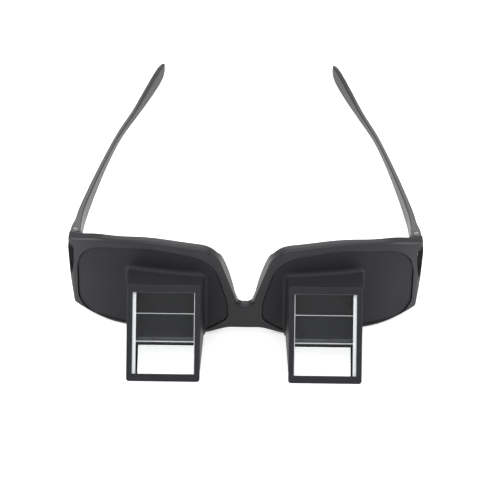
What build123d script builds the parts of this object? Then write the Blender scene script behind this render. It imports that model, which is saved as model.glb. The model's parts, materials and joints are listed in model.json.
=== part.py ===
from build123d import *
import os
from math import cos, isclose, radians, sin, tan

# Prism bed glasses: an opaque moulded front with a glass prism box before each eye, on two folding temples.
# Sizes are in millimetres and angles in degrees. X runs across the face, Y from the front towards the ears,
# and Z from the brow towards the cheeks, because the glasses are put down on their brow edge.
# The origin is in the middle of the front face, on the level that the glasses stand on.

# Plan curve of the front face: a flat middle arc, a tighter cheek arc and a corner into the side wall
half_width = 74.2
front_radius = 230.0
front_turn = 11.5
cheek_turn = 25.0
corner_radius = 6.4
rim_depth = 3.6
side_wall = 1.8

# Front outline, right half, seen from the front
front_height = 45.4
crown_share = 0.525
crown_radius = 70.0
notch_floor = 15.6
notch_half = 2.6
notch_radius = 2.4
shoulder_x = 11.6
shoulder_fall = 2.1
shoulder_radius = 10.0
drop_share = 0.822
drop_fall = 3.4
drop_radius = 30.0
side_fall = 9.0
side_top_inset = 0.9
flank_bulge = 0.5
flank_share = 0.55
foot_inset = 1.6
foot_z = 2.8
brow_rise = 3.6
brow_inner_x = 7.0
brow_outer_x = 16.5
brow_radius = 12.0
brow_end_share = 0.768
brow_end_radius = 45.0
rim_round = 1.6
brow_round = 1.2

# Opening for each opaque panel, right eye
opening_floor = 1.5
opening_low_x = 16.5
opening_low_radius = 12.0
opening_inner_x = 6.9
opening_inner_z = 8.5
opening_inner_radius = 5.0
opening_waist_x = 7.1
opening_waist_z = 17.5
opening_waist_radius = 22.0
opening_nose_x = 13.3
opening_nose_fall = 6.5
opening_nose_radius = 14.0
opening_crown_fall = 3.2
opening_crown_radius = 45.0
opening_cheek_inset = 4.6
opening_cheek_fall = 8.6
opening_cheek_radius = 17.0
opening_outer_inset = 3.2
opening_outer_radius = 8.0
ledge_width = 1.2
ledge_depth = 2.4

# Nose wings behind the notch, vent slots in the corners and the rear edge of the side walls
wing_depth = 7.4
wing_wall = 2.4
wing_rise = 1.9
wing_fall = 1.9
wing_reach_x = 14.0
vent_width = 5.4
vent_height = 17.4
vent_fall = 2.0
vent_turn = 34.0
vent_depth = 4.0
rear_foot_run = 5.4
rear_waist_run = 0.9
rear_waist_share = 0.55

# Opaque panels and the prism boxes moulded on them
panel_sink = 0.5
panel_gap = 0.4
prism_x = 32.5
box_lean = 36.87
box_reach = 30.0
box_top = 30.9
box_width = 28.8
box_flare = 1.3
box_round = 1.0
root_round = 2.0
box_back = 8.2
box_front_gap = 0.1
tunnel_width = 24.6
tunnel_floor = 4.4
tunnel_roof = 27.6

# Bezels round the windows
bezel_lip = 0.35
bezel_depth = 1.2
bezel_corner = 1.1
bezel_round = 0.4
window_width = 25.0
window_height = 32.8
window_border = 3.4
window_recess = 1.3

# Prisms, reflectors and eyepieces
prism_width = 25.8
prism_height = 26.6
prism_bevel = 0.35
prism_gap = 0.15
box_floor = 1.2
reflector_thickness = 0.4
eyepiece_depth = 2.0
eyepiece_border = 1.1
eyepiece_corner = 2.0

# Hinges
side_run = 0.6
root_width = 4.4
root_height = 8.0
root_inset = 1.0
root_relief = 0.08
tongue_height = 3.2
tongue_gap = 0.1
joint_gap = 0.1
slot_gap = 0.25
boss_depth = 2.8
boss_skirt = 3.6
screw_radius = 0.6
screw_head_radius = 0.95
screw_head_height = 0.5
screw_head_room = 0.25
screw_slot = 0.3
screw_turn = 35.0
screw_fit = 0.06
lug_fit = 0.03
nut_radius = 1.5
nut_height = 1.0

# Temples: stations along the length, as shares of it, with what the temple does there.
# Each row holds the share of the length, the inset of the outer face, the rise of the top edge,
# the width, the height and the corner rounding. The inset and the next three are shares of
# temple_inset, ear_rise, root_width and root_height, and the rounding is a share of the width there.
temple_length = 127.7
temple_inset = 33.0
ear_rise = 10.0
temple_station_shares = (
    (0.000, 0.000, 0.00, 1.00, 1.00, 0.10),
    (0.040, 0.012, 0.00, 0.89, 1.00, 0.12),
    (0.078, 0.039, 0.00, 0.66, 0.99, 0.22),
    (0.151, 0.067, 0.00, 0.56, 0.96, 0.30),
    (0.300, 0.158, 0.00, 0.50, 0.74, 0.36),
    (0.462, 0.273, 0.00, 0.46, 0.54, 0.38),
    (0.618, 0.400, 0.00, 0.46, 0.48, 0.38),
    (0.761, 0.567, 0.10, 0.50, 0.58, 0.38),
    (0.877, 0.721, 0.45, 0.57, 0.86, 0.38),
    (0.952, 0.836, 0.75, 0.58, 0.96, 0.38),
    (0.985, 0.897, 0.86, 0.52, 0.80, 0.38),
    (1.000, 0.933, 0.86, 0.37, 0.50, 0.38),
)

overrun = 5.0
same_share = 0.0001
upright_share = 0.98
brow_zone_share = 0.2

# Worked out from the sizes above
middle_turn = front_turn + cheek_turn
crown_x = half_width * crown_share
drop_x = half_width * drop_share
brow_end_x = half_width * brow_end_share
side_top_z = front_height - side_fall
front_rise_share = sin(radians(front_turn))
cheek_rise_share = sin(radians(middle_turn))
slope = tan(radians(box_lean))
bezel_run = bezel_depth / cos(radians(box_lean))
recess_run = window_recess / cos(radians(box_lean))
prism_low = box_floor + reflector_thickness
prism_high = prism_low + prism_height
eye_face_y = -box_reach + recess_run + prism_high * slope
hinge_x = half_width - root_inset - root_width / 2
root_low = side_top_z - root_height
tongue_low = root_low + (root_height - tongue_height) / 2


def cheek_radius(depth, wall):
    """Radius of the cheek arc that carries the plan curve out to the side wall."""
    middle_x = (front_radius - depth) * front_rise_share
    corner_x = (corner_radius - wall) * (1 - cheek_rise_share)
    return (half_width - wall - middle_x - corner_x) / (cheek_rise_share - front_rise_share)


# The plan's corner ends where the side wall turns straight back, and the hinge joint lies a little further on
corner_centre_y = (front_radius * (1 - cos(radians(front_turn))) + corner_radius * cos(radians(middle_turn))
                   + cheek_radius(0, 0) * (cos(radians(front_turn)) - cos(radians(middle_turn))))
joint_y = corner_centre_y + side_run
root_front_y = joint_y + joint_gap
axis_y = root_front_y + root_width / 2
slot_floor_y = axis_y + root_width / 2 + slot_gap


def plan_block(depth, wall, rear):
    """All that lies behind the plan curve, a depth behind the front face and a wall inside the side face."""
    with BuildPart() as block:
        with BuildSketch(Plane.XY.offset(-overrun)):
            with BuildLine():
                middle = JernArc((0, depth), (1, 0), front_radius - depth, front_turn)
                cheek = JernArc(middle @ 1, middle % 1, cheek_radius(depth, wall), cheek_turn)
                corner = JernArc(cheek @ 1, cheek % 1, corner_radius - wall, 90 - middle_turn)
                side = Line(corner @ 1, (half_width - wall, rear))
                Line(side @ 1, (0, rear))
                mirror(about=Plane.YZ)
            make_face()
        extrude(amount=front_height + 2 * overrun)
    return block.part


def bar_along_y(sketch):
    """A front view drawn out along Y, past the whole front both ways."""
    with BuildPart() as bar:
        extrude(sketch, amount=box_reach + joint_y + overrun, both=True)
    return bar.part


def outline_view(inset):
    """Front view of the whole frame, drawn in by an inset. It trims the side walls near foot and top."""
    with BuildSketch(Plane.XZ) as view:
        with BuildLine():
            top = FilletPolyline(
                (0, notch_floor), (notch_half, notch_floor), (shoulder_x, front_height - shoulder_fall),
                (crown_x, front_height), (drop_x, front_height - drop_fall),
                (half_width - side_top_inset, side_top_z),
                radius=[notch_radius, shoulder_radius, crown_radius, drop_radius])
            brow = FilletPolyline(
                (0, brow_rise), (brow_inner_x, brow_rise), (brow_outer_x, 0), (brow_end_x, 0),
                (half_width - foot_inset, foot_z),
                radius=[brow_radius, brow_radius, brow_end_radius])
            Polyline(top @ 1, (half_width + flank_bulge, front_height * flank_share), brow @ 1)
            mirror(about=Plane.YZ)
        make_face()
        if inset > 0:
            offset(amount=-inset)
    return view.sketch


def opening_view(inset):
    """Front view of the right panel opening, drawn in by an inset."""
    corners = [
        (half_width - opening_outer_inset, opening_floor, opening_outer_radius),
        (half_width - opening_cheek_inset, front_height - opening_cheek_fall, opening_cheek_radius),
        (crown_x, front_height - opening_crown_fall, opening_crown_radius),
        (opening_nose_x, front_height - opening_nose_fall, opening_nose_radius),
        (opening_waist_x, opening_waist_z, opening_waist_radius),
        (opening_inner_x, opening_inner_z, opening_inner_radius),
        (opening_low_x, opening_floor, opening_low_radius),
    ]
    with BuildSketch(Plane.XZ) as view:
        with BuildLine():
            FilletPolyline(*[(x, z) for x, z, r in corners], radius=[r for x, z, r in corners], close=True)
        make_face()
        if inset > 0:
            offset(amount=-inset)
    return view.sketch


def side_view():
    """What the side walls keep, seen from the side: the rear edge runs from the hinge down to the brow."""
    with BuildPart() as bar:
        with BuildSketch(Plane.YZ):
            with BuildLine():
                rear = Spline((joint_y, root_low), (joint_y - rear_waist_run, side_top_z * rear_waist_share),
                              (joint_y - rear_foot_run, -overrun), tangents=[(0, -1), (-1, -2)])
                Polyline(rear @ 0, (joint_y, front_height + overrun), (-overrun, front_height + overrun),
                         (-overrun, -overrun), rear @ 1)
            make_face()
        extrude(amount=half_width + overrun, both=True)
    return bar.part


def box_points(front_run, rear, low, high):
    """Side view of a length of the prism box, from a line parallel to the window to an upright rear."""
    front_low = -box_reach + front_run + low * slope
    front_high = -box_reach + front_run + high * slope
    return [(front_low, low), (rear, low), (rear, high), (front_high, high)]


def arc_faces(faces, radii):
    """The faces that follow plan arcs of the given radii."""
    curved = faces.filter_by(GeomType.CYLINDER)
    return [f for f in curved if any(isclose(f.radius, r, rel_tol=same_share) for r in radii)]


def is_box_root(point):
    """Whether a point lies where the prism box grows out of its plate."""
    half = box_width / 2 + box_flare + bezel_lip
    return abs(point.X - prism_x) < half and opening_floor + bezel_lip < point.Z < box_top + bezel_lip


def write_pair(name, right):
    """Write a right-hand piece and its mirror image for the left."""
    right.part.label = f"right_{name}"
    export_step(right.part, f"parts/right_{name}.step")
    with BuildPart() as left:
        add(right.part.mirror(Plane.YZ))
    left.part.label = f"left_{name}"
    export_step(left.part, f"parts/left_{name}.step")


os.makedirs("parts", exist_ok=True)
box_plane = Plane.YZ.offset(prism_x)
prism_points = [(eye_face_y - prism_height * slope, prism_low), (eye_face_y, prism_low), (eye_face_y, prism_high)]
window_plane = Plane(origin=(prism_x, -box_reach, 0), x_dir=(1, 0, 0),
                     z_dir=(0, -cos(radians(box_lean)), sin(radians(box_lean))))

# The front: solid wall of the wrapped plan, then its outline, openings, nose wings, vents and hinge tongues
outer_block = plan_block(0, 0, joint_y)
hollow_block = plan_block(rim_depth, side_wall, joint_y + overrun)
ledge_block = plan_block(ledge_depth, ledge_depth, joint_y + overrun)
outline_bar = bar_along_y(outline_view(0))
opening_bar = bar_along_y(opening_view(0))
through_bar = bar_along_y(opening_view(ledge_width))
wing_core_bar = bar_along_y(outline_view(wing_wall))
side_bar = side_view()
wing_low_z = notch_floor + wing_rise
wing_high_z = front_height - wing_fall
vent_high_z = side_top_z - vent_fall
vent_low_z = vent_high_z - vent_height

with BuildPart() as opening_cut:
    add(opening_bar)
    add(ledge_block, mode=Mode.SUBTRACT)
    add(through_bar)

with BuildPart() as wings:
    with BuildSketch(Plane.YZ):
        with BuildLine():
            bow = ThreePointArc((0, wing_low_z), (wing_depth, (wing_low_z + wing_high_z) / 2), (0, wing_high_z))
            Line(bow @ 1, bow @ 0)
        make_face()
    extrude(amount=wing_reach_x, both=True)
    add(outline_bar, mode=Mode.INTERSECT)
    add(wing_core_bar, mode=Mode.SUBTRACT)

vent_out = (cos(radians(vent_turn)), -sin(radians(vent_turn)), 0)
vent_along = (sin(radians(vent_turn)), cos(radians(vent_turn)), 0)
vent_centre = (half_width - corner_radius + corner_radius * vent_out[0],
               corner_centre_y + corner_radius * vent_out[1], 0)

with BuildPart() as vent_cut:
    with BuildSketch(Plane(origin=vent_centre, x_dir=vent_along, z_dir=vent_out)):
        with BuildLine():
            shoulder = vent_high_z - vent_width / 2
            crown = ThreePointArc((-vent_width / 2, shoulder), (0, vent_high_z), (vent_width / 2, shoulder))
            TangentArc(crown @ 1, (0, vent_low_z), tangent=(0, -1))
            TangentArc(crown @ 0, (0, vent_low_z), tangent=(0, -1))
        make_face()
    extrude(amount=vent_depth, both=True)

# The wall of the front, rounded more along its top edge than along the brow
with BuildPart() as shell:
    add(outer_block)
    add(hollow_block, mode=Mode.SUBTRACT)
    add(outline_bar, mode=Mode.INTERSECT)
    add(side_bar, mode=Mode.INTERSECT)
    skin = arc_faces(faces(), (front_radius, cheek_radius(0, 0), corner_radius))
    rim_edges = [e for f in skin for e in f.edges() if abs(e.tangent_at(0.5).Z) < upright_share]
    fillet([e for e in rim_edges if e.center().Z > front_height * brow_zone_share], rim_round)
    skin = arc_faces(faces(), (front_radius, cheek_radius(0, 0), corner_radius))
    rim_edges = [e for f in skin for e in f.edges() if abs(e.tangent_at(0.5).Z) < upright_share]
    fillet([e for e in rim_edges if e.center().Z < front_height * brow_zone_share], brow_round)

with BuildPart() as front_frame:
    add(shell.part)
    add(wings.part)
    add(opening_cut.part, mode=Mode.SUBTRACT)
    add(opening_cut.part.mirror(Plane.YZ), mode=Mode.SUBTRACT)
    add(vent_cut.part, mode=Mode.SUBTRACT)
    add(vent_cut.part.mirror(Plane.YZ), mode=Mode.SUBTRACT)
    for side in (-1, 1):
        with BuildSketch(Plane.YZ.offset(side * hinge_x)):
            with BuildLine():
                Polyline((joint_y, side_top_z - joint_gap), (joint_y, root_low),
                         (joint_y - boss_depth, root_low + boss_skirt),
                         (joint_y - boss_depth, side_top_z - joint_gap), close=True)
            make_face()
        extrude(amount=root_width / 2, both=True)
        with BuildSketch(Plane.XY.offset(tongue_low)):
            with Locations((side * hinge_x, axis_y)):
                Circle(root_width / 2)
            with Locations((side * hinge_x, (axis_y + joint_y - boss_depth) / 2)):
                Rectangle(root_width, axis_y - joint_y + boss_depth)
        extrude(amount=tongue_height)
        with Locations((side * hinge_x, axis_y, tongue_low)):
            Cylinder(screw_radius + screw_fit, tongue_height, mode=Mode.SUBTRACT,
                     align=(Align.CENTER, Align.CENTER, Align.MIN))
front_frame.part.label = "front_frame"
export_step(front_frame.part, "parts/front_frame.step")

# Prism box: the moulded walls round the prism, wider at the root than at the window
with BuildPart() as box_walls:
    with BuildSketch(box_plane):
        Polygon(*box_points(bezel_run, box_back, 0, box_top), align=None)
    extrude(amount=half_width, both=True)
    with BuildSketch(Plane.XY.offset(-overrun)):
        with BuildLine():
            Polyline((prism_x - box_width / 2, -box_reach), (prism_x + box_width / 2, -box_reach),
                     (prism_x + box_width / 2 + box_flare, box_back),
                     (prism_x - box_width / 2 - box_flare, box_back), close=True)
        make_face()
    extrude(amount=box_top + 2 * overrun, mode=Mode.INTERSECT)
    roof_sides = faces().sort_by(Axis.Z)[-1].edges().filter_by(lambda e: abs((e % 0).X) < abs((e % 0).Y))
    fillet(roof_sides, box_round)

# Room for the prism, for the reflector under it and for the eye's line of sight
with BuildPart() as pocket:
    with BuildSketch(box_plane):
        Polygon(*prism_points, align=None)
        offset(amount=prism_gap, kind=Kind.INTERSECTION)
    extrude(amount=prism_width / 2 + prism_gap, both=True)
    with BuildSketch(box_plane):
        Polygon(*box_points(recess_run, eye_face_y + prism_gap, box_floor, prism_low + prism_gap), align=None)
    extrude(amount=prism_width / 2 + prism_gap, both=True)

with BuildPart() as tunnel:
    with BuildSketch(Plane.XZ.offset(-eye_face_y)):
        with Locations((prism_x, (tunnel_floor + tunnel_roof) / 2)):
            RectangleRounded(tunnel_width, tunnel_roof - tunnel_floor, eyepiece_corner)
    extrude(amount=-(box_back - eye_face_y + eyepiece_depth + overrun))

# Panels: an opaque plate sunk in each opening, with the prism box moulded on.
# The box keeps clear of the frame's front face, opening and ledge.
panel_bar = bar_along_y(opening_view(panel_gap))
core_bar = bar_along_y(opening_view(ledge_width + panel_gap))
panel_block = plan_block(panel_sink, panel_sink, joint_y + overrun)
clear_block = plan_block(-box_front_gap, -box_front_gap, joint_y + overrun)

with BuildPart() as rim_room:
    add(clear_block)
    add(panel_bar, mode=Mode.SUBTRACT)

with BuildPart() as ledge_room:
    add(ledge_block)
    add(core_bar, mode=Mode.SUBTRACT)

with BuildPart() as plate:
    add(panel_block)
    add(ledge_block, mode=Mode.SUBTRACT)
    add(panel_bar, mode=Mode.INTERSECT)

with BuildPart() as panel:
    add(box_walls.part)
    add(rim_room.part, mode=Mode.SUBTRACT)
    add(ledge_room.part, mode=Mode.SUBTRACT)
    add(pocket.part, mode=Mode.SUBTRACT)
    add(plate.part)
    add(tunnel.part, mode=Mode.SUBTRACT)
    plate_faces = arc_faces(faces(), (front_radius - panel_sink, cheek_radius(panel_sink, panel_sink)))
    root_edges = [e for f in plate_faces for e in f.edges() if is_box_root(e.center())]
    fillet(root_edges, root_round)
write_pair("panel", panel)

# Bezels: the slanted frame that holds each prism in its box
with BuildPart() as bezel:
    with BuildSketch(box_plane):
        Polygon(*box_points(0, box_back, 0, box_top + bezel_lip), align=None)
        Polygon(*box_points(bezel_run, box_back, 0, box_top + bezel_lip), align=None, mode=Mode.SUBTRACT)
    extrude(amount=box_width / 2 + bezel_lip, both=True)
    fillet(edges().filter_by(Axis.Y), bezel_corner)
    front_rim = faces().sort_by(Axis.Y)[0].edges()
    fillet(front_rim, bezel_round)
    with BuildSketch(window_plane):
        with Locations((0, window_border + window_height / 2)):
            Rectangle(window_width, window_height)
    extrude(amount=-bezel_depth - overrun, mode=Mode.SUBTRACT)
    add(pocket.part, mode=Mode.SUBTRACT)
write_pair("bezel", bezel)

# Prisms: clear right-angled blocks with ground edges
with BuildPart() as prism:
    with BuildSketch(box_plane):
        Polygon(*prism_points, align=None)
    extrude(amount=prism_width / 2, both=True)
    chamfer(edges(), prism_bevel)
write_pair("prism", prism)

# Reflectors: the silvered strip under each prism's lower face
with BuildPart() as reflector:
    with BuildSketch(box_plane):
        Polygon(*box_points(recess_run, eye_face_y, box_floor, prism_low), align=None)
    extrude(amount=prism_width / 2, both=True)
write_pair("reflector", reflector)

# Eyepieces: the frame round each eye window at the back
with BuildPart() as eyepiece:
    with BuildSketch(Plane.XZ.offset(-box_back)):
        with Locations((prism_x, (tunnel_floor + tunnel_roof) / 2)):
            RectangleRounded(tunnel_width + 2 * eyepiece_border, tunnel_roof - tunnel_floor + 2 * eyepiece_border,
                             eyepiece_corner + eyepiece_border)
    extrude(amount=-eyepiece_depth)
    chamfer(faces().sort_by(Axis.Y)[-1].edges(), eyepiece_border / 3)
    add(tunnel.part, mode=Mode.SUBTRACT)
write_pair("eyepiece", eyepiece)

# Temples: a forked root, a slim middle and a paddle that turns in and towards the ear
with BuildPart() as temple:
    for along, inset, rise, width, height, rounding in temple_station_shares:
        thick = width * root_width
        tall = height * root_height
        centre_x = hinge_x + root_width / 2 - inset * temple_inset - thick / 2
        centre_z = side_top_z + rise * ear_rise - tall / 2
        with BuildSketch(Plane.XZ.offset(-root_front_y - along * temple_length)):
            with Locations((centre_x, centre_z)):
                RectangleRounded(thick, tall, rounding * thick)
    loft()
    with BuildSketch(Plane.XY.offset(tongue_low - tongue_gap)):
        with Locations((hinge_x, (joint_y - overrun + slot_floor_y) / 2)):
            Rectangle(root_width + 2 * overrun, slot_floor_y - joint_y + overrun)
    extrude(amount=tongue_height + 2 * tongue_gap, mode=Mode.SUBTRACT)
    with BuildSketch(Plane.XY.offset(root_low - overrun)):
        with Locations((hinge_x, axis_y)):
            Rectangle(root_width, root_width, align=(Align.MAX, Align.MAX))
            Circle(root_width / 2 - root_relief, mode=Mode.SUBTRACT)
    extrude(amount=root_height + 2 * overrun, mode=Mode.SUBTRACT)
    with Locations((hinge_x, axis_y, root_low)):
        Cylinder(screw_radius + lug_fit, root_height, mode=Mode.SUBTRACT,
                 align=(Align.CENTER, Align.CENTER, Align.MIN))
    with BuildSketch(Plane.XY.offset(root_low)):
        with Locations((hinge_x, axis_y)):
            RegularPolygon(nut_radius + lug_fit, 6)
    extrude(amount=nut_height, mode=Mode.SUBTRACT)
    with Locations((hinge_x, axis_y, side_top_z)):
        Cylinder(screw_head_radius + screw_head_room, screw_head_height, mode=Mode.SUBTRACT,
                 align=(Align.CENTER, Align.CENTER, Align.MAX))
write_pair("temple", temple)

# Hinge screws with a slotted head, and the nuts under them
with BuildPart() as screw:
    with BuildSketch(Plane.XY.offset(root_low)):
        with Locations((hinge_x, axis_y)):
            Circle(screw_radius)
    extrude(amount=root_height - screw_head_height)
    with BuildSketch(Plane.XY.offset(side_top_z - screw_head_height)):
        with Locations((hinge_x, axis_y)):
            Circle(screw_head_radius)
    extrude(amount=screw_head_height)
    chamfer(edges().group_by(Axis.Z)[-1], screw_head_height / 3)
    with BuildSketch(Plane.XY.offset(side_top_z)):
        with Locations((hinge_x, axis_y)):
            Rectangle(screw_slot, 2 * screw_head_radius, rotation=screw_turn)
    extrude(amount=-screw_head_height / 2, mode=Mode.SUBTRACT)
write_pair("hinge_screw", screw)

with BuildPart() as nut:
    with BuildSketch(Plane.XY.offset(root_low)):
        with Locations((hinge_x, axis_y)):
            RegularPolygon(nut_radius, 6)
            Circle(screw_radius + lug_fit, mode=Mode.SUBTRACT)
    extrude(amount=nut_height)
write_pair("hinge_nut", nut)
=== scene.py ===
import bpy, bmesh, json, math
from mathutils import Vector, Matrix

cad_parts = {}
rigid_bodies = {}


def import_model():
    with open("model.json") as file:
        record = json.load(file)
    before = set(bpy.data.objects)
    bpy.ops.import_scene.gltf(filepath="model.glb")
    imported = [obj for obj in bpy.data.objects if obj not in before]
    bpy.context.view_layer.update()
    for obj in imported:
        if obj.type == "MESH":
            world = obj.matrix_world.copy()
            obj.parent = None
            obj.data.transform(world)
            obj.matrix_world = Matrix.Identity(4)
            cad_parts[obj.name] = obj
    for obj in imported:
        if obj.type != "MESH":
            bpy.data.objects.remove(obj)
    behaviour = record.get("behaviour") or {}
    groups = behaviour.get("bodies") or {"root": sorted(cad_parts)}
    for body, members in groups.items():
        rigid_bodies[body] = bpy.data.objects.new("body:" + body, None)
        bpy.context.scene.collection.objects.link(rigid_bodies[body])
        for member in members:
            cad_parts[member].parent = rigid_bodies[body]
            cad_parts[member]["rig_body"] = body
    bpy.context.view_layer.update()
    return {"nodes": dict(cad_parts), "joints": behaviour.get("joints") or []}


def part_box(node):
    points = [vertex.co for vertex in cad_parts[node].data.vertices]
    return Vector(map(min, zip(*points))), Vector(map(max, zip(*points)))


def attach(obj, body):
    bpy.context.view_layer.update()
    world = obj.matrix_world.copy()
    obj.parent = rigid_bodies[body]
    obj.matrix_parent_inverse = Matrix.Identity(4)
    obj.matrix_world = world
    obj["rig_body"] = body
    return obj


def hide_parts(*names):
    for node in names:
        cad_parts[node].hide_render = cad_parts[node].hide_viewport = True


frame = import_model()
nodes = frame["nodes"]
hinges = {joint["child"]: joint["pos_m"] for joint in frame["joints"]}
scene = bpy.context.scene
mm = 0.001
print("frame loaded:", len(nodes), "nodes")


def linearColour(hexText):
    # sRGB hex to linear, with the sRGB standard's own constants
    parts = [int(hexText[i:i + 2], 16) / 255 for i in (1, 3, 5)]
    return [c / 12.92 if c <= 0.04045 else ((c + 0.055) / 1.055) ** 2.4 for c in parts] + [1.0]


def addNode(tree, kind, settings=None, **links):
    # one node with its settings
    # a link names its socket, or numbers it as n0 or n1, and holds a value, a socket or a list of sockets
    node = tree.nodes.new(kind)
    for key, value in (settings or {}).items():
        setattr(node, key, value)
    for key, value in links.items():
        numbered = key[0] == "n" and key[1:].isdigit()
        socket = node.inputs[int(key[1:])] if numbered else node.inputs[key.replace("_", " ")]
        several = isinstance(value, list) and isinstance(value[0], bpy.types.NodeSocket)
        for one in value if several else [value]:
            if isinstance(one, bpy.types.NodeSocket):
                tree.links.new(one, socket)
            else:
                socket.default_value = one
    return node


# the kinds of node that the trees repeat, each with its settings
plus, minus, times, over, timesPlus, wholePart, cosine, sine, larger = [
    ("ShaderNodeMath", {"operation": name}) for name in
    ("ADD", "SUBTRACT", "MULTIPLY", "DIVIDE", "MULTIPLY_ADD", "FLOOR", "COSINE", "SINE", "MAXIMUM")]
plusVector, minusVector, timesVector, timesPlusVector, scaledVector = [
    ("ShaderNodeVectorMath", {"operation": name}) for name in
    ("ADD", "SUBTRACT", "MULTIPLY", "MULTIPLY_ADD", "SCALE")]
joined, cut = [
    ("GeometryNodeMeshBoolean", {"operation": name, "solver": "EXACT"}) for name in
    ("UNION", "DIFFERENCE")]
keepVector = ("GeometryNodeStoreNamedAttribute", {"data_type": "FLOAT_VECTOR", "domain": "POINT"})
readVector = ("GeometryNodeInputNamedAttribute", {"data_type": "FLOAT_VECTOR"})


def newMaterial(name):
    mat = bpy.data.materials.new(name)
    mat.use_nodes = True
    mat.node_tree.nodes.clear()
    return mat, mat.node_tree


def pair(name):
    return ["left_" + name, "right_" + name]


# what all moulded skins share: their grain and flow noise, and where on the flow the two tones lie
mould = dict(grainDetail=3.0, grainRoughness=0.6, flowDetail=2.0, flowRoughness=0.5,
             toneLow=0.3, toneHigh=0.7)


def mouldedPlastic(name, look):
    # injection moulded plastic: a fine spark-eroded skin, a slow drift in tone and slightly uneven gloss
    mat, tree = newMaterial(name)
    where = addNode(tree, "ShaderNodeTexCoord").outputs["Object"]
    grain = addNode(tree, "ShaderNodeTexNoise", Vector=where, Scale=1 / (look["grainMm"] * mm),
                    Detail=mould["grainDetail"], Roughness=mould["grainRoughness"]).outputs["Fac"]
    flow = addNode(tree, "ShaderNodeTexNoise", Vector=where, Scale=1 / (look["flowMm"] * mm),
                   Detail=mould["flowDetail"], Roughness=mould["flowRoughness"]).outputs["Fac"]
    tone = addNode(tree, "ShaderNodeValToRGB", Fac=flow)
    low, high = tone.color_ramp.elements
    low.position, low.color = mould["toneLow"], linearColour(look["dark"])
    high.position, high.color = mould["toneHigh"], linearColour(look["light"])
    gloss = addNode(tree, "ShaderNodeMapRange", Value=grain, To_Min=look["roughness"] - look["glossSpread"],
                    To_Max=look["roughness"] + look["glossSpread"])
    bump = addNode(tree, "ShaderNodeBump", Height=grain, Strength=look["bump"], Distance=look["bumpMm"] * mm)
    skin = addNode(tree, "ShaderNodeBsdfPrincipled", Base_Color=tone.outputs["Color"],
                   Roughness=gloss.outputs["Result"], Normal=bump.outputs["Normal"], IOR=look["ior"],
                   Specular_IOR_Level=look["sheenLevel"])
    addNode(tree, "ShaderNodeOutputMaterial", Surface=skin.outputs["BSDF"])
    return mat


# rounded shading: the angle that stays sharp, what is merged or dissolved, and how the edges are rounded
shading = dict(angle=30, mergeMm=0.002, thinMm=0.001, edgeSteps=2, faceWeight=100)


def smoothCopy(nodeName, material, bars=()):
    # a merged copy of a CAD solid, standing for its node; bars are added to it, given by their corners
    mesh = nodes[nodeName].data.copy()
    bm = bmesh.new()
    bm.from_mesh(mesh)
    bmesh.ops.remove_doubles(bm, verts=bm.verts, dist=shading["mergeMm"] * mm)
    bmesh.ops.dissolve_degenerate(bm, dist=shading["thinMm"] * mm, edges=bm.edges)
    for corners, low, high in bars:
        below, above = [[bm.verts.new((x * mm, y * mm, z * mm)) for x, y in corners] for z in (low, high)]
        bm.faces.new(below)
        bm.faces.new(above)
        for i in range(len(corners)):
            bm.faces.new((below[i - 1], below[i], above[i], above[i - 1]))
    bm.to_mesh(mesh)
    bm.free()
    dress(mesh, nodeName, material)


def dress(mesh, nodeName, material, rounding=0):
    # makes a plain mesh the shown piece of a CAD node, with rounded shading and, if asked, rounded edges
    sharp = math.radians(shading["angle"])
    mesh.name = nodeName + "Skin"
    bm = bmesh.new()
    bm.from_mesh(mesh)
    bmesh.ops.recalc_face_normals(bm, faces=bm.faces)
    for face in bm.faces:
        face.smooth = True
    for edge in bm.edges:
        edge.smooth = not edge.is_manifold or edge.calc_face_angle(0) < sharp
    bm.to_mesh(mesh)
    bm.free()
    mesh.materials.clear()
    mesh.materials.append(material)
    piece = bpy.data.objects.new(nodeName + "Skin", mesh)
    scene.collection.objects.link(piece)
    if rounding:
        soft = piece.modifiers.new("mouldedEdge", "BEVEL")
        soft.width = rounding * mm
        soft.segments = shading["edgeSteps"]
        soft.limit_method = "ANGLE"
        soft.angle_limit = sharp
    even = piece.modifiers.new("evenShading", "WEIGHTED_NORMAL")
    even.mode = "FACE_AREA"
    even.weight = shading["faceWeight"]
    even.keep_sharp = True
    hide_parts(nodeName)
    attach(piece, nodes[nodeName]["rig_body"])


# satin ABS of the front: black all through, the mould's fine texture leaves it a soft grey sheen
frameLook = dict(dark="#353538", light="#3a3a3d", roughness=0.33, glossSpread=0.03, grainMm=0.35, flowMm=22,
                 bump=0.04, bumpMm=0.015, ior=1.53, sheenLevel=0.24)
# matt ABS of the panels and boxes: flatter and a little bluish
panelLook = dict(dark="#2b2b2f", light="#2f2f33", roughness=0.48, glossSpread=0.05, grainMm=0.3, flowMm=18,
                 bump=0.03, bumpMm=0.01, ior=1.53, sheenLevel=0.2)
# satin ABS of the bezels: a frame that catches a little more light than the box behind it
bezelLook = dict(dark="#232328", light="#28282d", roughness=0.44, glossSpread=0.03, grainMm=0.3, flowMm=14,
                 bump=0.04, bumpMm=0.015, ior=1.53, sheenLevel=0.3)
# nylon temples: smoother, so they turn pale where the eye meets them edge on
templeLook = dict(dark="#37373a", light="#3d3d40", roughness=0.27, glossSpread=0.02, grainMm=0.4, flowMm=26,
                  bump=0.02, bumpMm=0.015, ior=1.53, sheenLevel=0.5)
# rubberised eyepieces: nearly black, so the prisms stay dark where one looks through them
eyepieceLook = dict(dark="#101012", light="#141417", roughness=0.75, glossSpread=0.06, grainMm=0.4,
                    flowMm=12, bump=0.1, bumpMm=0.02, ior=1.5, sheenLevel=0.08)

framePlastic = mouldedPlastic("satinMouldedAbs", frameLook)
panelPlastic = mouldedPlastic("mattMouldedAbs", panelLook)
bezelPlastic = mouldedPlastic("satinBezelAbs", bezelLook)
templePlastic = mouldedPlastic("satinNylon", templeLook)
eyepiecePlastic = mouldedPlastic("mattRubberisedAbs", eyepieceLook)

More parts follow.
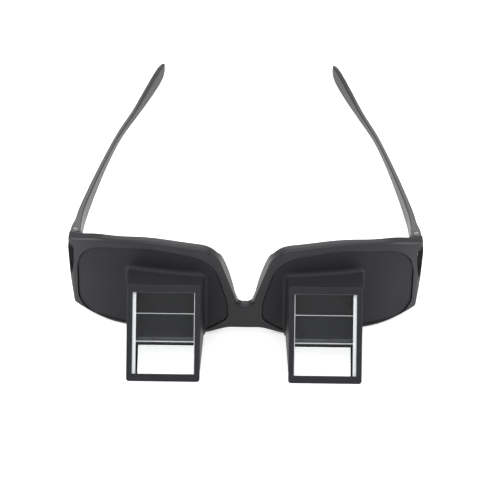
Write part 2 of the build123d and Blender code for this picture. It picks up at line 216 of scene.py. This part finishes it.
# the wear that all metals share
wear = dict(detail=4.0, bump=0.2, bumpMm=0.01)


def plainMetal(name, look):
    # turned, plated or silvered metal: faint cloudy wear breaks up its reflections
    mat, tree = newMaterial(name)
    where = addNode(tree, "ShaderNodeTexCoord").outputs["Object"]
    cloud = addNode(tree, "ShaderNodeTexNoise", Vector=where, Scale=1 / (look["wearMm"] * mm),
                    Detail=wear["detail"]).outputs["Fac"]
    tone = addNode(tree, "ShaderNodeValToRGB", Fac=cloud)
    low, high = tone.color_ramp.elements
    low.color, high.color = linearColour(look["dark"]), linearColour(look["light"])
    bump = addNode(tree, "ShaderNodeBump", Height=cloud, Strength=wear["bump"],
                   Distance=wear["bumpMm"] * mm)
    skin = addNode(tree, "ShaderNodeBsdfPrincipled", Base_Color=tone.outputs["Color"], Metallic=1.0,
                   Roughness=look["roughness"], Normal=bump.outputs["Normal"])
    addNode(tree, "ShaderNodeOutputMaterial", Surface=skin.outputs["BSDF"])
    return mat


# blacked steel of the hinge screws: worn to a cloudy grey, so the heads show as pale dots
blackedLook = dict(dark="#505051", light="#b0b0b1", roughness=0.28, wearMm=0.4)
blackedSteel = plainMetal("blackedSteel", blackedLook)
# nickel-plated steel of the nuts: a warmer and softer shine
nickelLook = dict(dark="#8e8c88", light="#c9c7c2", roughness=0.3, wearMm=0.4)
nickelSteel = plainMetal("nickelPlatedSteel", nickelLook)
# vacuum silvering of the reflectors: nearly a mirror
silverLook = dict(dark="#d9dadb", light="#eeefef", roughness=0.06, wearMm=6)
silverCoat = plainMetal("vacuumSilvering", silverLook)

# optical glass: polished faces are clear, ground ones frosted and whitish with a faint painted glow, and the
# lower one white with a stronger glow: painted light for the bright reflection under the prism
glassLook = dict(clear="#fbfcfc", ior=1.5, ground="#e4e7e9", groundRoughness=0.6, groundPaintedGlow=0.18,
                 paint="#fafaf9", paintRoughness=0.6, paintedLightGlow=0.5, grindMm=0.12, brushMm=3.0,
                 coatDetail=2.0, coatBump=0.2, coatBumpMm=0.02)


def polishedGlass(name, coated):
    # a polished face; a coated one sends back no reflection of its own
    mat, tree = newMaterial(name)
    kind = "ShaderNodeBsdfRefraction" if coated else "ShaderNodeBsdfGlass"
    skin = addNode(tree, kind, Color=linearColour(glassLook["clear"]), Roughness=0.0, IOR=glassLook["ior"])
    addNode(tree, "ShaderNodeOutputMaterial", Surface=skin.outputs["BSDF"])
    return mat


def whiteCoat(name, colour, roughness, glow, grain):
    # a scattering white face behind glass; its glow is painted light, standing for the light that the prism
    # gathers on it
    mat, tree = newMaterial(name)
    where = addNode(tree, "ShaderNodeTexCoord").outputs["Object"]
    grit = addNode(tree, "ShaderNodeTexNoise", Vector=where, Scale=1 / (grain * mm),
                   Detail=glassLook["coatDetail"])
    bump = addNode(tree, "ShaderNodeBump", Height=grit.outputs["Fac"], Strength=glassLook["coatBump"],
                   Distance=glassLook["coatBumpMm"] * mm)
    shade = linearColour(colour)
    skin = addNode(tree, "ShaderNodeBsdfPrincipled", Base_Color=shade, Roughness=roughness,
                   Normal=bump.outputs["Normal"], Emission_Color=shade, Emission_Strength=glow)
    addNode(tree, "ShaderNodeOutputMaterial", Surface=skin.outputs["BSDF"])
    return mat


clearGlass = polishedGlass("polishedOpticalGlass", False)
bloomedGlass = polishedGlass("bloomedOpticalGlass", True)
# ground glass: frosted, and given a faint glow that is painted light
frostedGlass = whiteCoat("groundGlassEdge", glassLook["ground"], glassLook["groundRoughness"],
                         glassLook["groundPaintedGlow"], glassLook["grindMm"])
# the white under each prism is a painted reflection: a glowing white face standing for the bright light seen
# there through the window
paintedReflection = whiteCoat("paintedReflectionWhite", glassLook["paint"], glassLook["paintRoughness"],
                       glassLook["paintedLightGlow"], glassLook["brushMm"])
print("materials made")

# the ledge behind each panel's outer edge runs on past the vent slot, so no light shows through the groove
ledgeBar = dict(corners=((68.1, 17.35), (71.2, 19.35), (71.35, 19.7), (71.1, 19.9), (68.0, 17.8)),
                low=16.5, high=32.5)
ledgeBars = [([(side * x, y) for x, y in ledgeBar["corners"]], ledgeBar["low"], ledgeBar["high"])
             for side in (-1, 1)]
smoothCopy("front_frame", framePlastic, ledgeBars)
for kind, material in (("panel", panelPlastic), ("bezel", bezelPlastic), ("eyepiece", eyepiecePlastic),
                       ("hinge_nut", nickelSteel), ("reflector", silverCoat)):
    for name in pair(kind):
        smoothCopy(name, material)
print("moulded parts dressed")

socketKinds = {bpy.types.Mesh: "NodeSocketGeometry", bpy.types.Material: "NodeSocketMaterial",
               int: "NodeSocketInt", tuple: "NodeSocketVector", float: "NodeSocketFloat"}


def newTree(name, inputs):
    # an empty node tree with named inputs; gives the tree, its input sockets and each input's identifier
    tree = bpy.data.node_groups.new(name, "GeometryNodeTree")
    marks = {}
    for label, value in inputs.items():
        kind = socketKinds[type(value)]
        item = tree.interface.new_socket(label, in_out="INPUT", socket_type=kind)
        marks[label] = item.identifier
    tree.interface.new_socket("Geometry", in_out="OUTPUT", socket_type="NodeSocketGeometry")
    return tree, addNode(tree, "NodeGroupInput").outputs, marks


def closeTree(tree, shape, material):
    real = addNode(tree, "GeometryNodeRealizeInstances", Geometry=shape)
    painted = addNode(tree, "GeometryNodeSetMaterial", Geometry=real.outputs[0], Material=material)
    addNode(tree, "NodeGroupOutput", n0=painted.outputs[0])


def grow(name, tree, marks, inputs):
    # runs a node tree once with these inputs and gives the plain mesh that it makes
    drawn = [value for value in inputs.values() if isinstance(value, bpy.types.Mesh)]
    holder = bpy.data.objects.new(name, drawn[0] if drawn else bpy.data.meshes.new(name))
    scene.collection.objects.link(holder)
    maker = holder.modifiers.new("maker", "NODES")
    maker.node_group = tree
    for label, value in inputs.items():
        if value not in drawn:
            maker[marks[label]] = value
    graph = bpy.context.evaluated_depsgraph_get()
    mesh = bpy.data.meshes.new_from_object(holder.evaluated_get(graph))
    holder.modifiers.remove(maker)
    bpy.data.objects.remove(holder)
    return mesh


# Temples: an arm swept through its stations by nodes, forked and drilled at the root. A station holds its
# shares of length, inset, rise, width and height, and the corner rounding as a share of the width there.
templeArm = dict(length=127.7, inset=33.0, rise=10.0, width=4.4, height=8.0, rings=170, cornerSteps=6,
                 forkGap=3.4, forkReach=2.45, relief=2.12, reliefSides=64, holeRadius=0.63, holeSides=32,
                 headRoom=1.2, headDepth=0.5, headSides=48, nutRadius=1.53, nutDepth=1.0, nutSides=6,
                 edgeRound=0.12, stations=(
                     (0.000, 0.000, 0.00, 1.00, 1.00, 0.10), (0.040, 0.012, 0.00, 0.89, 1.00, 0.12),
                     (0.078, 0.039, 0.00, 0.66, 0.99, 0.22), (0.151, 0.067, 0.00, 0.56, 0.96, 0.30),
                     (0.300, 0.158, 0.00, 0.50, 0.74, 0.36), (0.462, 0.273, 0.00, 0.46, 0.54, 0.38),
                     (0.618, 0.400, 0.00, 0.46, 0.48, 0.38), (0.761, 0.567, 0.10, 0.50, 0.58, 0.38),
                     (0.877, 0.721, 0.45, 0.57, 0.86, 0.38), (0.952, 0.836, 0.75, 0.58, 0.96, 0.38),
                     (0.985, 0.897, 0.86, 0.52, 0.80, 0.38), (1.000, 0.933, 0.86, 0.37, 0.50, 0.38)))
# a cutter centred on a face reaches as far out as in; one that goes right through has room at both ends
bothWays = 2.0
through = 1.5


def stationLine(name, stations):
    # the stations as a line of points, each of which carries its section
    spots, sections = [], []
    for along, inset, rise, width, height, rounding in stations:
        spots.append((inset, along, rise))
        sections += [width, rounding, height]
    mesh = bpy.data.meshes.new(name)
    mesh.from_pydata(spots, [(i, i + 1) for i in range(len(spots) - 1)], [])
    mesh.attributes.new("section", "FLOAT_VECTOR", "POINT").data.foreach_set("vector", sections)
    return mesh


def armTree(name, inputs):
    tree, given, marks = newTree(name, inputs)
    # the spine: a smooth curve through the stations, in even rings
    path = addNode(tree, "GeometryNodeMeshToCurve", Mesh=given["Stations"])
    bowed = addNode(tree, "GeometryNodeCurveSplineType", {"spline_type": "CATMULL_ROM"},
                    Curve=path.outputs[0])
    fine = addNode(tree, "GeometryNodeResampleCurve", Curve=bowed.outputs[0], Count=given["Rings"])
    position = addNode(tree, "GeometryNodeInputPosition").outputs[0]
    spine = addNode(tree, *keepVector, Geometry=fine.outputs[0], Name="middle", Value=position)
    # the section: four quarter arcs, each stepped round its own corner
    # the nudge keeps a corner's number from falling one short where the division isn't exact
    quarters, nudge = 4.0, 0.001
    perCorner = addNode(tree, *plus, n0=given["Corner Steps"], n1=1.0).outputs[0]
    count = addNode(tree, *times, n0=perCorner, n1=quarters).outputs[0]
    profile = addNode(tree, "GeometryNodeCurvePrimitiveCircle", Resolution=count).outputs[0]
    index = addNode(tree, "GeometryNodeInputIndex").outputs[0]
    share = addNode(tree, *over, n0=index, n1=perCorner).outputs[0]
    nudged = addNode(tree, *plus, n0=share, n1=nudge).outputs[0]
    corner = addNode(tree, *wholePart, n0=nudged).outputs[0]
    passed = addNode(tree, *times, n0=corner, n1=perCorner).outputs[0]
    step = addNode(tree, *minus, n0=index, n1=passed).outputs[0]
    part = addNode(tree, *over, n0=step, n1=given["Corner Steps"]).outputs[0]
    arcTurn = addNode(tree, *plus, n0=corner, n1=part).outputs[0]
    cornerTurn = addNode(tree, *plus, n0=corner, n1=0.5).outputs[0]
    for label, turn, reach in (("arc", arcTurn, 1.0), ("corner", cornerTurn, math.sqrt(2))):
        angle = addNode(tree, *times, n0=turn, n1=math.pi / 2).outputs[0]
        across = addNode(tree, *cosine, n0=angle).outputs[0]
        up = addNode(tree, *sine, n0=angle).outputs[0]
        both = addNode(tree, "ShaderNodeCombineXYZ", X=across, Z=up).outputs[0]
        aim = addNode(tree, *scaledVector, Vector=both, Scale=reach).outputs[0]
        profile = addNode(tree, *keepVector, Geometry=profile, Name=label, Value=aim).outputs[0]
    swept = addNode(tree, "GeometryNodeCurveToMesh", Curve=spine.outputs[0], Profile_Curve=profile,
                    Fill_Caps=True)
    # each point goes to its ring's middle, out to the straight part's end, and out along its corner's arc
    read = {label: addNode(tree, *readVector, Name=label).outputs[0]
            for label in ("middle", "section", "arc", "corner")}
    size = addNode(tree, "ShaderNodeSeparateXYZ", Vector=read["section"]).outputs
    wide = addNode(tree, *times, n0=size[0], n1=given["Width"]).outputs[0]
    tall = addNode(tree, *times, n0=size[2], n1=given["Height"]).outputs[0]
    radius = addNode(tree, *times, n0=wide, n1=size[1]).outputs[0]
    whole = addNode(tree, "ShaderNodeCombineXYZ", X=wide, Z=tall).outputs[0]
    half = addNode(tree, *scaledVector, Vector=whole, Scale=0.5).outputs[0]
    radii = addNode(tree, "ShaderNodeCombineXYZ", X=radius, Z=radius).outputs[0]
    straight = addNode(tree, *minusVector, n0=half, n1=radii).outputs[0]
    spot = addNode(tree, *timesPlusVector, n0=read["corner"], n1=straight, n2=given["Root"]).outputs[0]
    spot = addNode(tree, *timesPlusVector, n0=read["arc"], n1=radii, n2=spot).outputs[0]
    inward = addNode(tree, *times, n0=given["Inset"], n1=-1.0).outputs[0]
    span = addNode(tree, "ShaderNodeCombineXYZ", X=inward, Y=given["Length"], Z=given["Rise"]).outputs[0]
    spot = addNode(tree, *timesPlusVector, n0=read["middle"], n1=span, n2=spot).outputs[0]
    spot = addNode(tree, *minusVector, n0=spot, n1=half).outputs[0]
    arm = addNode(tree, "GeometryNodeSetPosition", Geometry=swept.outputs[0], Position=spot)
    # the fork's cutters: the screw's hole and head room and the nut's pocket, each at its share of the height
    top = addNode(tree, "ShaderNodeSeparateXYZ", Vector=given["Axis"]).outputs
    cutters = []
    for sides, bore, depth, overrun, height in (
            (templeArm["holeSides"], given["Hole Radius"], given["Height"], through, -0.5),
            (templeArm["headSides"], given["Head Radius"], given["Head Depth"], bothWays, 0.0),
            (templeArm["nutSides"], given["Nut Radius"], given["Nut Depth"], bothWays, -1.0)):
        cutDepth = addNode(tree, *times, n0=depth, n1=overrun).outputs[0]
        level = addNode(tree, *timesPlus, n0=given["Height"], n1=height, n2=top[2]).outputs[0]
        place = addNode(tree, "ShaderNodeCombineXYZ", X=top[0], Y=top[1], Z=level).outputs[0]
        drill = addNode(tree, "GeometryNodeMeshCylinder", Vertices=sides, Radius=bore, Depth=cutDepth)
        cutters.append(addNode(tree, "GeometryNodeTransform", Geometry=drill.outputs[0],
                               Translation=place).outputs[0])
    # the slot for the frame's tongue
    halfDown = addNode(tree, *timesPlus, n0=given["Height"], n1=-0.5, n2=top[2]).outputs[0]
    middle = addNode(tree, "ShaderNodeCombineXYZ", X=top[0], Y=top[1], Z=halfDown).outputs[0]
    long = addNode(tree, *times, n0=given["Fork Reach"], n1=bothWays).outputs[0]
    broad = addNode(tree, *times, n0=given["Width"], n1=bothWays).outputs[0]
    block = addNode(tree, "ShaderNodeCombineXYZ", X=broad, Y=long, Z=given["Fork Gap"]).outputs[0]
    slot = addNode(tree, "GeometryNodeMeshCube", Size=block).outputs[0]
    cutters.append(addNode(tree, "GeometryNodeTransform", Geometry=slot, Translation=middle).outputs[0])
    # the root's inner front corner, rounded about the axis so that the arm can turn
    deep = addNode(tree, *times, n0=given["Height"], n1=bothWays).outputs[0]
    quarter = addNode(tree, "ShaderNodeCombineXYZ", X=given["Width"], Y=given["Width"], Z=deep).outputs[0]
    back = addNode(tree, *timesVector, n0=quarter, n1=(-0.5, -0.5, 0.0)).outputs[0]
    away = addNode(tree, *plusVector, n0=back, n1=middle).outputs[0]
    wedge = addNode(tree, "GeometryNodeMeshCube", Size=quarter).outputs[0]
    wedge = addNode(tree, "GeometryNodeTransform", Geometry=wedge, Translation=away).outputs[0]
    deeper = addNode(tree, *times, n0=deep, n1=through).outputs[0]
    drum = addNode(tree, "GeometryNodeMeshCylinder", Vertices=templeArm["reliefSides"],
                   Radius=given["Relief Radius"], Depth=deeper).outputs[0]
    drum = addNode(tree, "GeometryNodeTransform", Geometry=drum, Translation=middle).outputs[0]
    cutters.append(addNode(tree, *cut, Mesh_1=wedge, Mesh_2=drum).outputs[0])
    forked = addNode(tree, *cut, Mesh_1=arm.outputs[0], Mesh_2=cutters).outputs[0]
    handed = addNode(tree, "ShaderNodeCombineXYZ", X=given["Side"], Y=1.0, Z=1.0).outputs[0]
    mirrored = addNode(tree, "GeometryNodeTransform", Geometry=forked, Scale=handed)
    closeTree(tree, mirrored.outputs[0], given["Material"])
    return tree, marks


templeSpine = stationLine("templeSpine", templeArm["stations"])
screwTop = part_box("right_hinge_screw")[1].z
for side, name in zip((-1.0, 1.0), pair("temple")):
    axis = (abs(hinges[name][0]), hinges[name][1], screwTop)
    halfWidth = templeArm["width"] * mm / 2
    inputs = {"Stations": templeSpine, "Rings": templeArm["rings"], "Corner Steps": templeArm["cornerSteps"],
              "Root": (axis[0] + halfWidth, axis[1] - halfWidth, screwTop), "Axis": axis, "Side": side,
              "Material": templePlastic}
    for label, key in (("Length", "length"), ("Inset", "inset"), ("Rise", "rise"), ("Width", "width"),
                       ("Height", "height"), ("Fork Gap", "forkGap"), ("Fork Reach", "forkReach"),
                       ("Relief Radius", "relief"), ("Hole Radius", "holeRadius"),
                       ("Head Radius", "headRoom"), ("Head Depth", "headDepth"),
                       ("Nut Radius", "nutRadius"), ("Nut Depth", "nutDepth")):
        inputs[label] = templeArm[key] * mm
    if side < 0:
        tree, marks = armTree("sweptTemple", inputs)
    dress(grow(name, tree, marks, inputs), name, templePlastic, templeArm["edgeRound"])
print("temples swept")

# Hinge screws: a turned head with a driver slot, on a plain shank
hingeScrew = dict(headRadius=0.95, headHeight=0.5, headSides=48, shankRadius=0.6, shankLength=7.5,
                  shankSides=32, slotWidth=0.3, slotDepth=0.25, slotReach=3.0, slotTurn=35, edgeRound=0.08)


def screwTree(name, inputs):
    tree, given, marks = newTree(name, inputs)
    top = addNode(tree, "ShaderNodeSeparateXYZ", Vector=given["Top"]).outputs
    bodies = []
    below = top[2]
    for label, sides in (("Head", hingeScrew["headSides"]), ("Shank", hingeScrew["shankSides"])):
        long = given[label + " Height"]
        level = addNode(tree, *timesPlus, n0=long, n1=-0.5, n2=below).outputs[0]
        spot = addNode(tree, "ShaderNodeCombineXYZ", X=top[0], Y=top[1], Z=level).outputs[0]
        rod = addNode(tree, "GeometryNodeMeshCylinder", Vertices=sides, Radius=given[label + " Radius"],
                      Depth=long).outputs[0]
        bodies.append(addNode(tree, "GeometryNodeTransform", Geometry=rod, Translation=spot).outputs[0])
        below = addNode(tree, *minus, n0=below, n1=long).outputs[0]
    whole = addNode(tree, *joined, Mesh_2=bodies).outputs[0]
    deep = addNode(tree, *times, n0=given["Slot Depth"], n1=bothWays).outputs[0]
    across = addNode(tree, *times, n0=given["Head Radius"], n1=hingeScrew["slotReach"]).outputs[0]
    size = addNode(tree, "ShaderNodeCombineXYZ", X=given["Slot Width"], Y=across, Z=deep).outputs[0]
    turned = addNode(tree, "ShaderNodeCombineXYZ", Z=given["Slot Turn"]).outputs[0]
    blade = addNode(tree, "GeometryNodeMeshCube", Size=size).outputs[0]
    blade = addNode(tree, "GeometryNodeTransform", Geometry=blade, Translation=given["Top"],
                    Rotation=turned).outputs[0]
    slotted = addNode(tree, *cut, Mesh_1=whole, Mesh_2=blade)
    closeTree(tree, slotted.outputs[0], given["Material"])
    return tree, marks


for side, name in zip((-1, 1), pair("hinge_screw")):
    lo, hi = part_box(name)
    inputs = {"Slot Turn": side * math.radians(hingeScrew["slotTurn"]),
              "Top": ((lo.x + hi.x) / 2, (lo.y + hi.y) / 2, hi.z), "Material": blackedSteel}
    for label, key in (("Head Radius", "headRadius"), ("Head Height", "headHeight"),
                       ("Shank Radius", "shankRadius"), ("Shank Height", "shankLength"),
                       ("Slot Width", "slotWidth"), ("Slot Depth", "slotDepth")):
        inputs[label] = hingeScrew[key] * mm
    if side < 0:
        tree, marks = screwTree("slottedScrew", inputs)
    dress(grow(name, tree, marks, inputs), name, blackedSteel, hingeScrew["edgeRound"])
print("screws turned")

# Prisms: right-angled glass blocks with a ground bevel along every edge and ground margins at both sides
# of the window face. Two ground lines cross the bloomed eye face: painted highlights for the light edge lines
# seen in the window. A glowing white face lies under the lower face, short of its edges: painted light for
# the bright reflection there. What it leaves free is bloomed too, and so is the bevel between those two
# faces.
# the two ground lines on the eye face are painted highlights, standing for the light edge lines seen in the
# window
prismCut = dict(lean=36.87, bevel=0.35, seat=0.05, marginOuter=1.75, marginInner=0.68,
                highlightLines=((2.3, 2.85), (17.05, 17.35)), paintRear=1.25, paintInner=0.4, paintOuterFront=2.55,
                paintOuterRear=2.0, paintFront=0.4, cutMm=0.0001)
# the four finishes, in the order of the material slots
polished, ground, painted, bloomed = range(4)
# how far a face's normal runs along an axis where it lies square to it, or slants towards it
squareOn, slanted = 0.9, 0.5


def glassPrism(nodeName, side):
    lo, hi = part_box(nodeName)
    bevel = prismCut["bevel"] * mm
    slope = math.tan(math.radians(prismCut["lean"]))
    low, rear = lo.z + prismCut["seat"] * mm, hi.y  # it stands on its cement, clear of the strip under it
    height = (hi.y - lo.y + bevel) / slope
    tip = rear - height * slope
    inner, outer = (lo.x, hi.x) if side > 0 else (hi.x, lo.x)
    bm = bmesh.new()
    outline = ((tip, low), (rear, low), (rear, low + height))
    left, right = [[bm.verts.new((x, y, z)) for y, z in outline] for x in (lo.x, hi.x)]
    bm.faces.new(left)
    bm.faces.new(right)
    for i, j in ((0, 1), (1, 2), (2, 0)):
        bm.faces.new((left[i], left[j], right[j], right[i]))
    bmesh.ops.recalc_face_normals(bm, faces=bm.faces)
    for face in bm.faces:
        n = face.normal
        face.material_index = (ground if abs(n.x) > squareOn else painted if n.z < -squareOn
                               else bloomed if n.y > squareOn else polished)
    bmesh.ops.bevel(bm, geom=list(bm.edges), offset=bevel, offset_type="OFFSET", segments=1, profile=0.5,
                    affect="EDGES", material=ground)
    margins = (inner + side * prismCut["marginInner"] * mm, outer - side * prismCut["marginOuter"] * mm)
    front, back = tip + bevel + prismCut["paintFront"] * mm, rear - prismCut["paintRear"] * mm
    innerPaint = inner + side * prismCut["paintInner"] * mm
    frontPaint = outer - side * prismCut["paintOuterFront"] * mm
    skew = (outer - side * prismCut["paintOuterRear"] * mm - frontPaint) / (back - front)
    # each cut crosses one kind of face: the window's margins, the ground lines painted in as edge highlights,
    # the paint's four edges
    cuts = [((x, 0, 0), (1, 0, 0), polished) for x in margins]
    cuts += [((0, 0, z * mm), (0, 0, 1), bloomed) for line in prismCut["highlightLines"] for z in line]
    cuts += [((0, y, 0), (0, 1, 0), painted) for y in (front, back)]
    cuts += [((innerPaint, 0, 0), (1, 0, 0), painted), ((frontPaint, front, 0), (1, -skew, 0), painted)]
    for point, normal, kind in cuts:
        faces = [f for f in bm.faces if f.material_index == kind]
        geom = faces + list({e for f in faces for e in f.edges}) + list({v for f in faces for v in f.verts})
        bmesh.ops.bisect_plane(bm, geom=geom, dist=prismCut["cutMm"] * mm, plane_co=point, plane_no=normal)
    for face in bm.faces:
        c = face.calc_center_median()
        kind = face.material_index
        outerPaint = frontPaint + skew * (c.y - front)
        brushed = side * innerPaint < side * c.x < side * outerPaint and front < c.y < back
        if kind == polished and not min(margins) < c.x < max(margins):
            face.material_index = ground
        elif kind == bloomed and any(start * mm < c.z < end * mm for start, end in prismCut["highlightLines"]):
            face.material_index = ground
        elif kind == ground and face.normal.y > slanted and face.normal.z < -slanted:
            face.material_index = bloomed
        elif kind == painted and not brushed:
            face.material_index = bloomed
    mesh = bpy.data.meshes.new(nodeName + "Glass")
    bm.to_mesh(mesh)
    bm.free()
    for mat in (clearGlass, frostedGlass, paintedReflection, bloomedGlass):
        mesh.materials.append(mat)
    piece = bpy.data.objects.new(nodeName + "Glass", mesh)
    scene.collection.objects.link(piece)
    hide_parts(nodeName)
    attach(piece, nodes[nodeName]["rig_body"])


for side, name in zip((-1, 1), pair("prism")):
    glassPrism(name, side)
print("prisms cut")

# Studio: a pale floor that keeps its shadow, a plain sky and soft boxes, in metres and watts
studio = dict(floor="#f3f3f2", floorHalf=1.6, lift=0.55, worldLight=0.3, boxes=dict(
    overheadBox=dict(place=(0.0, -0.3, 1.05), target=(0, 0.02, 0), size=1.1, power=8.0),
    frontBox=dict(place=(-0.2, -1.0, 0.6), target=(0, 0, 0.02), size=0.9, power=0.5),
    rearBox=dict(place=(0.0, 1.0, 0.8), target=(0, 0.02, 0.03), size=0.9, power=4.5),
    leftBox=dict(place=(-0.9, -0.05, 0.35), target=(0, 0.03, 0.03), size=0.6, power=4.5),
    rightBox=dict(place=(0.9, -0.05, 0.35), target=(0, 0.03, 0.03), size=0.6, power=4.5)))

floorMesh = bpy.data.meshes.new("studioFloor")
half = studio["floorHalf"]
floorMesh.from_pydata([(-half, -half, 0), (half, -half, 0), (half, half, 0), (-half, half, 0)], [],
                      [(0, 1, 2, 3)])
floor = bpy.data.objects.new("studioFloor", floorMesh)
scene.collection.objects.link(floor)
# painted floor: white where a reflection or a look through glass meets it, and lifted for the camera alone
floorMat, tree = newMaterial("paintedFloor")
white = linearColour("#ffffff")
paper = addNode(tree, "ShaderNodeBsdfDiffuse", Color=linearColour(studio["floor"]))
glow = addNode(tree, "ShaderNodeEmission", Color=white, Strength=1.0)
ray = addNode(tree, "ShaderNodeLightPath").outputs
seen = addNode(tree, *larger, n0=ray["Is Glossy Ray"], n1=ray["Is Transmission Ray"])
lift = addNode(tree, *times, n0=ray["Is Camera Ray"], n1=studio["lift"])
haze = addNode(tree, "ShaderNodeEmission", Color=white, Strength=lift.outputs[0])
bright = addNode(tree, "ShaderNodeAddShader", n0=paper.outputs[0], n1=haze.outputs[0])
mix = addNode(tree, "ShaderNodeMixShader", n0=seen.outputs[0], n1=bright.outputs[0], n2=glow.outputs[0])
addNode(tree, "ShaderNodeOutputMaterial", Surface=mix.outputs[0])
floorMesh.materials.append(floorMat)

# sky: full white for the camera and through glass, and dimmer as light on the object
scene.world = bpy.data.worlds.new("studioWorld")
scene.world.use_nodes = True
tree = scene.world.node_tree
tree.nodes.clear()
ray = addNode(tree, "ShaderNodeLightPath").outputs
direct = addNode(tree, *larger, n0=ray["Is Camera Ray"], n1=ray["Is Transmission Ray"])
dim = addNode(tree, "ShaderNodeBackground", Color=white, Strength=studio["worldLight"])
sky = addNode(tree, "ShaderNodeBackground", Color=white, Strength=1.0)
mix = addNode(tree, "ShaderNodeMixShader", n0=direct.outputs[0], n1=dim.outputs[0], n2=sky.outputs[0])
addNode(tree, "ShaderNodeOutputWorld", Surface=mix.outputs[0])


def softbox(name, place, target, size, power):
    light = bpy.data.lights.new(name, "AREA")
    light.shape = "SQUARE"
    light.size = size
    light.energy = power
    lamp = bpy.data.objects.new(name, light)
    lamp.location = place
    lamp.rotation_euler = (Vector(target) - Vector(place)).to_track_quat("-Z", "Y").to_euler()
    scene.collection.objects.link(lamp)


for name, box in studio["boxes"].items():
    softbox(name, **box)

# camera at the photograph's angle: 37 degrees above the floor, straight on
shot = dict(place=(0.0018, -0.4327, 0.3690), tilt=53.13, roll=0.75, lens=97.7, sensor=36)
camData = bpy.data.cameras.new("shotCamera")
camData.lens = shot["lens"]
camData.sensor_width = shot["sensor"]
camera = bpy.data.objects.new("shotCamera", camData)
camera.matrix_world = (Matrix.Translation(shot["place"])
                       @ Matrix.Rotation(math.radians(shot["tilt"]), 4, "X")
                       @ Matrix.Rotation(math.radians(shot["roll"]), 4, "Z"))
scene.collection.objects.link(camera)
scene.camera = camera
scene.view_settings.view_transform = "Standard"
print("studio set")
